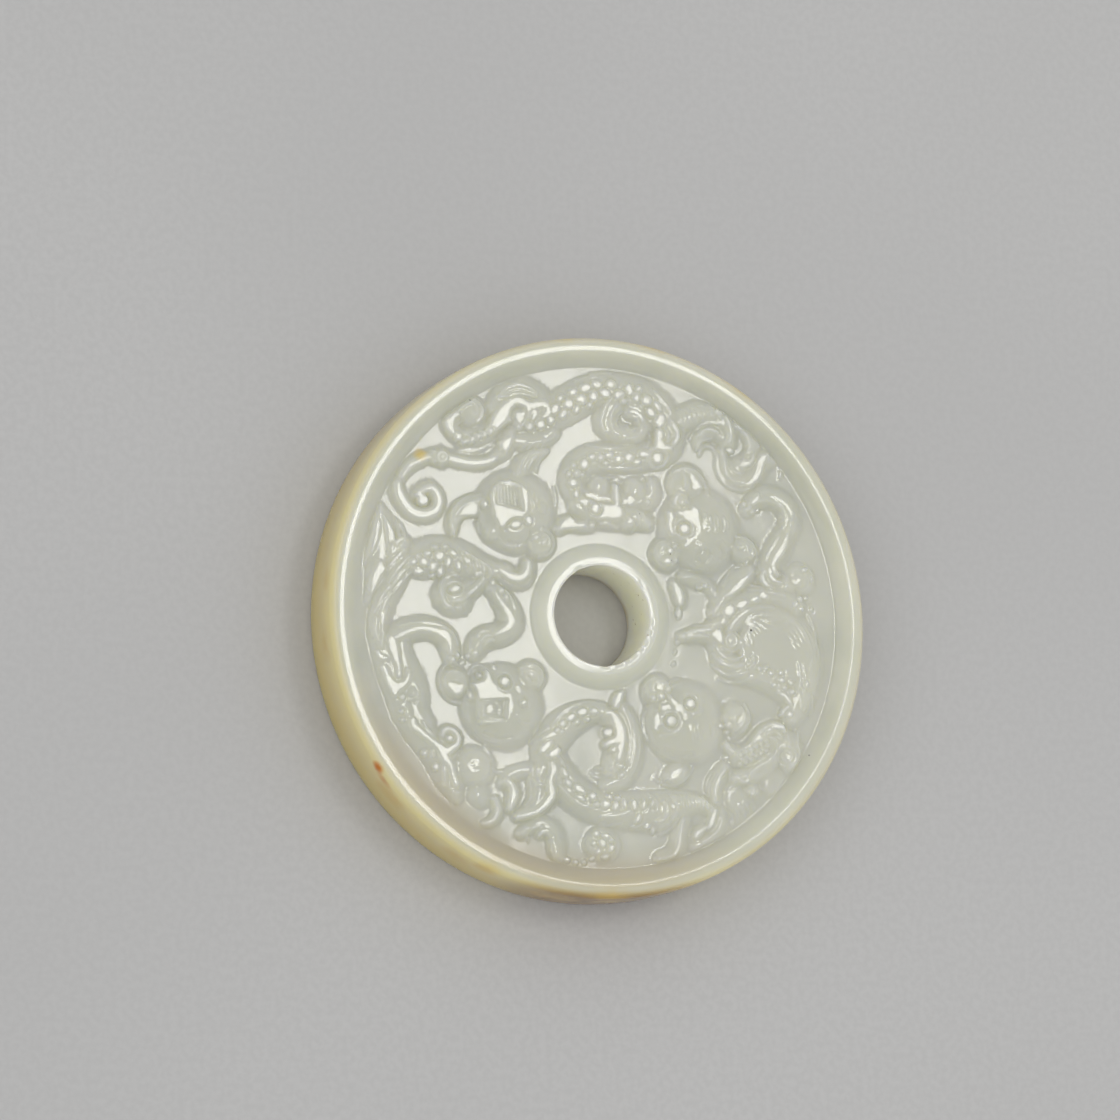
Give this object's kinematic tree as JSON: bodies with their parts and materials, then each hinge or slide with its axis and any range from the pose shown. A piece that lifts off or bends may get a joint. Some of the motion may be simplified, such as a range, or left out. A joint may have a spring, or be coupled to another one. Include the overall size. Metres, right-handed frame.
{
  "type": "carved jade disc pendant",
  "caption": "Round jade pendant disc with a central cord hole, a raised rim and collar, and coiling beasts and round heads carved in low relief on a sunk field.",
  "frame": {"origin": "centre of the flat back face, which the disc lies on", "axes": "+Z along the cord hole, out of the carved face; +Y towards the top of the carving; +X to the right as the carved face is looked at"},
  "size_m": [0.057, 0.057, 0.0074],
  "materials": {
    "jade": "polished pale greenish-white nephrite, slightly translucent, with faint yellow to russet skin stains at the edge"
  },
  "bodies": {
    "root": {"jade_disc": "jade"}
  },
  "joints": []
}
